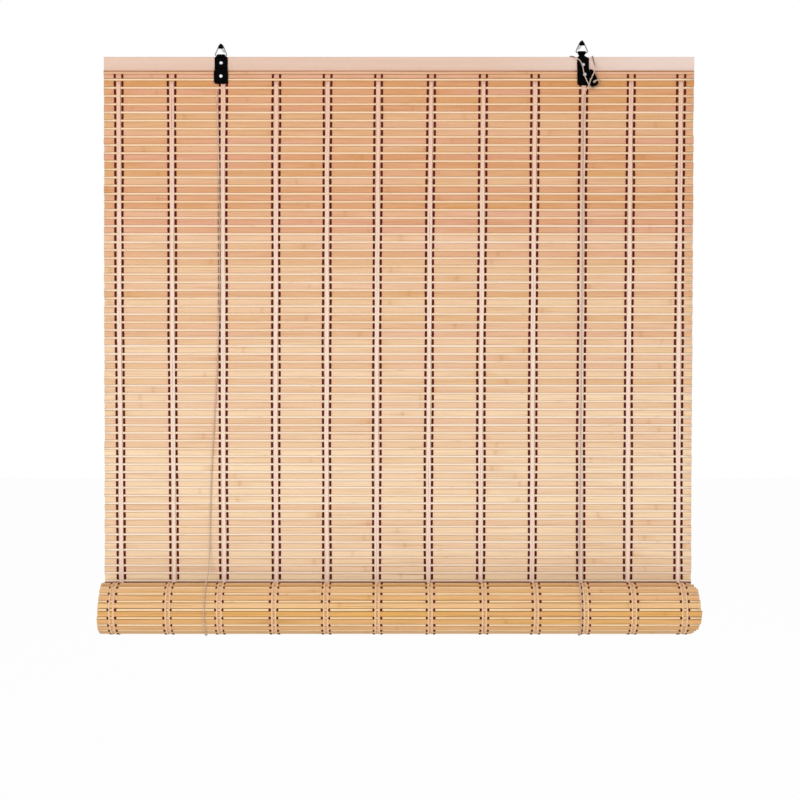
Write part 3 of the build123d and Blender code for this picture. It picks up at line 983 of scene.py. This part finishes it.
def route_points(name, route):
    """Points along a route's NURBS spline."""
    data = bpy.data.curves.new(name, "CURVE")
    data.dimensions = "3D"
    data.resolution_u = 24
    spline = data.splines.new("NURBS")
    spline.points.add(len(route) - 1)
    for point, place in zip(spline.points, route):
        point.co = (*(Vector(place) * mm), 1.0)
    spline.order_u = 3
    spline.use_endpoint_u = True
    line = bpy.data.objects.new(name, data)
    bpy.context.collection.objects.link(line)
    bpy.context.view_layer.update()
    mesh = bpy.data.meshes.new_from_object(line)
    points = [vertex.co.copy() for vertex in mesh.vertices]
    bpy.data.objects.remove(line)
    bpy.data.curves.remove(data)
    bpy.data.meshes.remove(mesh)
    return points


def even_points(points, step):
    """The same line with points a step apart, and its length."""
    spaced, since, length = [points[0]], 0.0, 0.0
    for first, last in zip(points, points[1:]):
        run = (last - first).length
        length += run
        if run == 0:
            continue
        at = step - since
        while at <= run:
            spaced.append(first.lerp(last, at / run))
            at += step
        since = run - (at - step)
    return spaced, length


def twisted(points, radius, strands, step, pitch, sides):
    """Verts and faces of strands twisted round a line."""
    verts, faces = [], []
    normal = Vector((1, 0, 0))
    frames = []
    for index, point in enumerate(points):
        before = points[max(index - 1, 0)]
        after = points[min(index + 1, len(points) - 1)]
        tangent = (after - before).normalized()
        normal = normal - tangent * normal.dot(tangent)
        if normal.length < 1e-6:
            normal = tangent.orthogonal()
        normal.normalize()
        frames.append((point, normal.copy(), tangent.cross(normal)))
    strand_radius = radius / (1 + 1 / math.sin(math.pi / strands))
    orbit = radius - strand_radius
    strand_radius *= strand_swell
    for strand in range(strands):
        start = len(verts)
        for index, (point, across, up) in enumerate(frames):
            turn = math.tau * (strand / strands + index * step / pitch)
            centre = point + (across * math.cos(turn) + up * math.sin(turn)) * orbit
            for side in range(sides):
                angle = turn + math.tau * side / sides
                out = across * math.cos(angle) + up * math.sin(angle)
                verts.append(centre + out * strand_radius)
        faces += tube_faces(start, len(frames), sides)
    return verts, faces


def knot(name, node, end, before):
    """A cord's end wound into a small barrel knot."""
    along = (Vector(end) - Vector(before)).normalized()
    across = along.orthogonal().normalized()
    up = along.cross(across)
    start = Vector(end) * mm
    line = []
    for step in range(knot_steps + 1):
        turn = math.tau * knot_wraps * step / knot_steps
        rise = knot_step + knot_length * step / knot_steps
        out = (across * math.cos(turn) + up * math.sin(turn)) * knot_radius
        line.append(start + along * rise + out)
    line = [start - along * knot_tuck] + line + [line[-1] + along * knot_tail]
    spaced, _ = even_points(line, knot_step)
    verts, faces = twisted(spaced, knot_wire, cord_strands, knot_step, knot_pitch, strand_sides)
    made = add_piece(name, verts, faces, (cord_yarn,), smooth=True)
    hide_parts(node)
    return made


def rail_shade_brown(place):
    """How brown a cord is at a place, as painted shade: only where it comes over the rail, in its
    shadow.
    """
    if place.y > brown_y or place.z < brown_low_z:
        return 0.0
    if place.x < brown_left_x:
        return brown_left_share
    right = place.x > brown_right_x and place.z > brown_right_z
    return brown_right_share if right else 0.0


def lift_cord(name, node, route):
    """A three-strand lift cord along its route."""
    points = route_points(name + "_line", route)
    step = strand_pitch / strand_steps
    spaced, length = even_points(points, step)
    verts, faces = twisted(
        spaced, cord_diameter / 2, cord_strands, step, strand_pitch, strand_sides
    )
    shades = [rail_shade_brown(place) for place in verts]
    made = add_piece(name, verts, faces, (cord_yarn,), shades=shades, smooth=True)
    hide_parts(node)


left_knots = [
    knot("left_rear_knot", "left_fall_knot", left_route[0], left_route[1]),
    knot("left_end_knot", "left_tail_knot", left_route[-1], left_route[-2]),
]
right_knots = [
    knot("right_rear_knot", "right_fall_knot", right_route[0], right_route[1]),
    knot("right_end_knot", "right_tail_knot", right_route[-1], right_route[-2]),
]
lift_cord("left_cord", "left_lift_cord", left_route)
lift_cord("right_cord", "right_lift_cord", right_route)


def rounded_outline(corners, radius, steps):
    """Points round a polygon with rounded corners."""
    points = []
    for index, corner in enumerate(corners):
        corner = Vector(corner)
        back = (Vector(corners[index - 1]) - corner).normalized()
        on = (Vector(corners[(index + 1) % len(corners)]) - corner).normalized()
        half = back.angle(on) / 2
        centre = corner + (back + on).normalized() * radius / math.sin(half)
        first = corner + back * radius / math.tan(half) - centre
        last = corner + on * radius / math.tan(half) - centre
        for step in range(steps + 1):
            points.append(centre + first.lerp(last, step / steps).normalized() * radius)
    return points


def lathed(verts, faces, x, z, rings, sides):
    """Adds closed rings about a line along Y, each a depth and a radius for every side."""
    start = len(verts)
    for y, radii in rings:
        for side, radius in enumerate(radii):
            turn = math.tau * side / sides
            verts.append((x + radius * math.cos(turn), y, z + radius * math.sin(turn)))
    faces += tube_faces(start, len(rings), sides, turned=True)


def wall_hook(name, node):
    """A wall hook: a black rounded head, a bright shank, its thread and point in the wall."""
    low, high = (Vector(corner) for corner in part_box(node))
    x, base = (low.x + high.x) / 2, low.z
    z = base + hook_head_drop
    head_back = low.y + hook_head_depth
    verts = []
    half = hook_head_width / 2
    corners = ((-half, 0.0), (half, 0.0), (0.0, hook_head_peak))
    outline = rounded_outline(corners, hook_head_round, hook_corner_steps)
    middle = Vector((0.0, (high.z - low.z) * hook_dome_middle))
    for depth, share in hook_dome:
        for point in outline:
            at = middle + (point - middle) * share
            verts.append((x + at.x, low.y + depth, base + at.y))
    faces = tube_faces(0, len(hook_dome), len(outline))
    head_faces = len(faces)
    plain = [hook_shank] * hook_sides
    rings = [(head_back - hook_overlap, plain), (-hook_overlap, plain)]
    thread_end = high.y - hook_point
    steps = round(thread_end / (hook_pitch / hook_turn_steps))
    for step in range(steps + 1):
        y = thread_end * step / steps
        radii = []
        for side in range(hook_sides):
            wave = abs(((y / hook_pitch + side / hook_sides) % 1.0) * 2 - 1)
            radii.append(hook_thread - hook_thread_depth * wave)
        rings.append((y, radii))
    rings += [(high.y - before, [radius] * hook_sides) for before, radius in hook_tip]
    lathed(verts, faces, x, z, rings, hook_sides)
    slots = [0] * head_faces + [1] * (len(faces) - head_faces)
    made = add_piece(
        name, verts, faces, (black_steel, zinc_steel), slots=slots, smooth=True, body="hooks"
    )
    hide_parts(node)


wall_hook("left_hook", "left_wall_hook")
wall_hook("right_hook", "right_wall_hook")


def dark_chip():
    """The chip, a little proud of the slat's front and tapered towards the room."""
    front = mat_y - slat_depth / 2
    verts = []
    for y, share in ((front + chip_sunk, 1.0), (front - chip_proud, chip_taper)):
        for across, up in chip_outline:
            verts.append((chip_x + across * share * mm, y, chip_z + up * share * mm))
    faces = tube_faces(0, 2, len(chip_outline))
    made = add_piece("dark_chip", verts, faces, (chip_bamboo,))


dark_chip()

# Finishes of the model's own parts
finishes = {
    "head_rail": rail_wood,
    "bottom_batten": rail_wood,
    "left_ring": ring_steel,
    "right_ring": ring_steel,
    "left_hanger_plate": black_steel,
    "right_hanger_plate": black_steel,
    "left_plate_screws": zinc_steel,
    "right_plate_screws": zinc_steel,
    "cord_cleat": black_steel,
    "cord_staples": zinc_steel,
}
for node_name, finish in finishes.items():
    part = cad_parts[node_name]
    for slot_of_part in part.material_slots:
        slot_of_part.material = finish


def seen_directly(tree):
    """1 for rays from the camera, off gloss or through glass, else 0."""
    rays = put(tree, "ShaderNodeLightPath").outputs
    bounced = maths(tree, "MAXIMUM", rays["Is Glossy Ray"], rays["Is Transmission Ray"])
    return maths(tree, "MAXIMUM", rays["Is Camera Ray"], bounced)


def blend(tree, share, first, second, output):
    """Mixes two shaders by a share and sends them to the tree's output node."""
    links = ((0, share), (1, first.outputs[0]), (2, second.outputs[0]))
    both = put(tree, "ShaderNodeMixShader", links)
    tree.links.new(both.outputs[0], tree.nodes[output].inputs["Surface"])


def floor():
    """A pale floor under the blind, white to the eye, that keeps a soft shadow."""
    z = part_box("rolled_mat")[0][2] - floor_drop
    mesh = bpy.data.meshes.new("floor")
    corners = [(x * floor_size, y * floor_size, z) for x, y in ((-1, -1), (1, -1), (1, 1), (-1, 1))]
    mesh.from_pydata(corners, [], [(0, 1, 2, 3)])
    made = bpy.data.objects.new("floor", mesh)
    bpy.context.collection.objects.link(made)
    material = bpy.data.materials.new("floor")
    material.use_nodes = True
    tree = material.node_tree
    shader = tree.nodes["Principled BSDF"]
    shader.inputs["Base Color"].default_value = floor_grey
    shader.inputs["Roughness"].default_value = 0.9
    glow = put(tree, "ShaderNodeEmission", (("Color", white), ("Strength", 1.0)))
    share = maths(tree, "MULTIPLY", seen_directly(tree), floor_glow)
    blend(tree, share, shader, glow, "Material Output")
    mesh.materials.append(material)


def lights():
    """Even studio light: a bright world, a key from the front left, a weak fill and a back lamp."""
    world = bpy.data.worlds.new("world")
    bpy.context.scene.world = world
    world.use_nodes = True
    tree = world.node_tree
    plain = tree.nodes["Background"]
    plain.inputs["Color"].default_value = white
    plain.inputs["Strength"].default_value = world_strength
    seen = put(tree, "ShaderNodeBackground", (("Color", white), ("Strength", 1.0)))
    blend(tree, seen_directly(tree), plain, seen, "World Output")
    for name, place, size, power in lamps:
        data = bpy.data.lights.new(name, "AREA")
        data.size = size
        data.energy = power
        made = bpy.data.objects.new(name, data)
        bpy.context.collection.objects.link(made)
        made.location = place
        aim = Vector(lamp_target) - Vector(place)
        made.rotation_euler = aim.to_track_quat("-Z", "Y").to_euler()


camera()
floor()
lights()
bpy.context.scene.view_settings.view_transform = "Standard"
